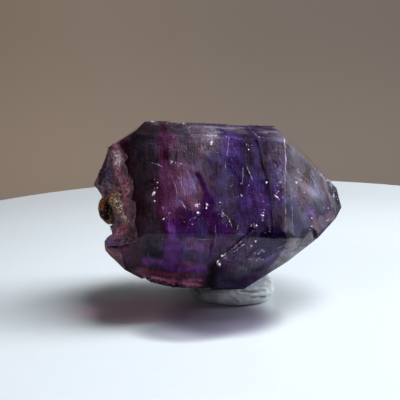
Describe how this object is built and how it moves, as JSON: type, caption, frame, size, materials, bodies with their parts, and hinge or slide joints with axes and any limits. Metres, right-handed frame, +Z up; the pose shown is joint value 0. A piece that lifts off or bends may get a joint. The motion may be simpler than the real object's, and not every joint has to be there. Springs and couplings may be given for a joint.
{
  "type": "amethyst crystal",
  "caption": "Pointed amethyst crystal with flat prism and tip faces and a broken end with a crust of matrix, lying on a dab of mineral putty.",
  "frame": {"origin": "middle of the plan outline, on the surface that the putty dab stands on", "axes": "+X along the crystal towards its tip, +Z up, -Y towards the front"},
  "size_m": [0.0422, 0.028, 0.0299],
  "materials": {
    "amethyst": "natural crystal faces, clear to smoky violet, one end rough",
    "matrix": "earthy iron-stained stone, dull and crumbly",
    "putty": "pale grey mineral putty, pressed smooth, matt"
  },
  "bodies": {
    "root": {"amethyst_crystal": "amethyst", "matrix_remnant": "matrix", "putty_dab": "putty"}
  },
  "joints": []
}
